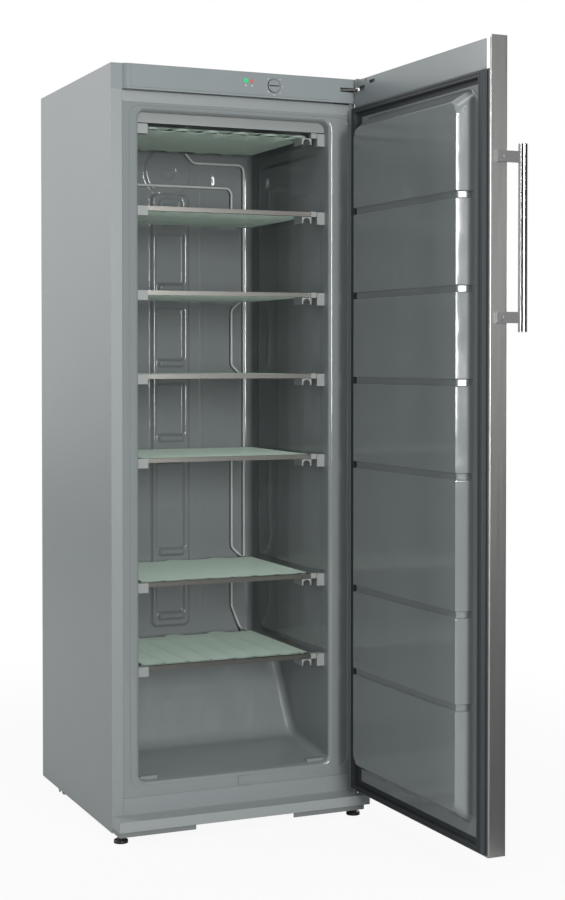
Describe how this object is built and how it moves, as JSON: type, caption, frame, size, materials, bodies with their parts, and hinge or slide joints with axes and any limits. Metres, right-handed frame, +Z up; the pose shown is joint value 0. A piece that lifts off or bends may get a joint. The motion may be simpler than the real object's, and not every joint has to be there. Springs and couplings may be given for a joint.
{
  "type": "upright freezer",
  "caption": "Upright freezer with a tall hinged door, evaporator shelves in a one-piece liner, a bar handle, a control fascia and a rear cold machine.",
  "frame": {"origin": "on the floor, under the middle of the cabinet's footprint", "axes": "+X to the right as seen from the front, +Y to the back, +Z up; the door is open at rest"},
  "size_m": [0.693, 1.1966, 1.731],
  "materials": {
    "silver_steel": "satin",
    "brushed_steel": "brushed",
    "zinc_steel": "satin",
    "rail_steel": "satin",
    "silver_metal": "satin",
    "chrome": "polished",
    "grey_liner": "gloss",
    "silver_plastic": "satin",
    "grey_plastic": "matt",
    "light_plastic": "matt",
    "white_plastic": "matt",
    "green_lens": "gloss",
    "red_lens": "gloss",
    "dark_gasket": "matt",
    "shelf_enamel": "satin",
    "pipe_paint": "satin",
    "copper_pipe": "satin",
    "black_paint": "satin",
    "black_rubber": "matt",
    "black_plastic": "matt",
    "foam": "matt"
  },
  "bodies": {
    "cabinet": {"side_panel_left": "silver_steel", "side_panel_right": "silver_steel", "top_panel": "silver_steel", "back_panel": "zinc_steel", "bottom_panel": "zinc_steel", "top_crossmember": "zinc_steel", "cabinet_foam": "foam", "inner_liner": "grey_liner", "upper_front_rail": "silver_steel", "lower_front_rail": "silver_steel", "fascia": "silver_plastic", "thermostat_body": "white_plastic", "lamp_green": "green_lens", "lamp_red": "red_lens", "top_hinge_plate": "zinc_steel", "hinge_screws": "zinc_steel", "bottom_hinge_bracket": "zinc_steel", "foot_bracket_left": "zinc_steel", "base_rail_left": "zinc_steel", "base_rail_right": "zinc_steel", "plinth": "grey_plastic", "front_cover_strip": "light_plastic", "shelf_rails": "rail_steel", "shelf_end_blocks": "light_plastic", "shelf_clips": "light_plastic", "jumper_tubes": "pipe_paint", "return_line": "pipe_paint", "compressor": "black_paint", "compressor_grommets": "black_rubber", "relay_cover": "black_plastic", "compressor_base": "zinc_steel", "condenser": "black_paint", "condenser_spacers": "black_plastic", "discharge_line": "copper_pipe", "filter_drier": "copper_pipe", "suction_line": "copper_pipe", "mains_inlet": "black_plastic", "roller_axles": "zinc_steel", "evaporator_shelf_1": "shelf_enamel", "evaporator_shelf_2": "shelf_enamel", "evaporator_shelf_3": "shelf_enamel", "evaporator_shelf_4": "shelf_enamel", "evaporator_shelf_5": "shelf_enamel", "evaporator_shelf_6": "shelf_enamel", "evaporator_shelf_7": "shelf_enamel"},
    "door": {"door_skin": "brushed_steel", "door_liner": "grey_liner", "door_foam": "foam", "door_gasket": "dark_gasket", "door_top_cap": "silver_plastic", "door_bottom_cap": "silver_plastic", "handle_bar": "chrome", "handle_brackets": "silver_metal", "handle_screws": "silver_metal"},
    "knob": {"thermostat_knob": "silver_plastic"},
    "foot_left": {"front_foot_left": "black_plastic"},
    "foot_right": {"front_foot_right": "black_plastic"},
    "roller_left": {"rear_roller_left": "black_plastic"},
    "roller_right": {"rear_roller_right": "black_plastic"},
    "drain_plug": {"drain_plug": "grey_liner"}
  },
  "joints": [
    {"name": "door_hinge", "type": "hinge", "parent": "cabinet", "child": "door", "pos_m": [0.2965, -0.3025, 0], "axis": [0, 0, 1], "range_deg": [-91, 24]},
    {"name": "knob_turn", "type": "hinge", "parent": "cabinet", "child": "knob", "pos_m": [0.09, -0.296, 1.702], "axis": [0, -1, 0], "range_deg": [-135, 135]},
    {"name": "foot_left_screw", "type": "hinge", "parent": "cabinet", "child": "foot_left", "pos_m": [-0.287, -0.307, 0], "axis": [0, 0, 1], "range_deg": [-720, 720]},
    {"name": "foot_right_screw", "type": "hinge", "parent": "cabinet", "child": "foot_right", "pos_m": [0.287, -0.307, 0], "axis": [0, 0, 1], "range_deg": [-720, 720]},
    {"name": "roller_left_spin", "type": "hinge", "parent": "cabinet", "child": "roller_left", "pos_m": [-0.2804, 0.14, 0.015], "axis": [1, 0, 0], "continuous": true},
    {"name": "roller_right_spin", "type": "hinge", "parent": "cabinet", "child": "roller_right", "pos_m": [0.2804, 0.14, 0.015], "axis": [1, 0, 0], "continuous": true},
    {"name": "drain_plug_pull", "type": "slide", "parent": "cabinet", "child": "drain_plug", "axis": [0, -1, 0], "range_m": [0, 0.025]}
  ]
}
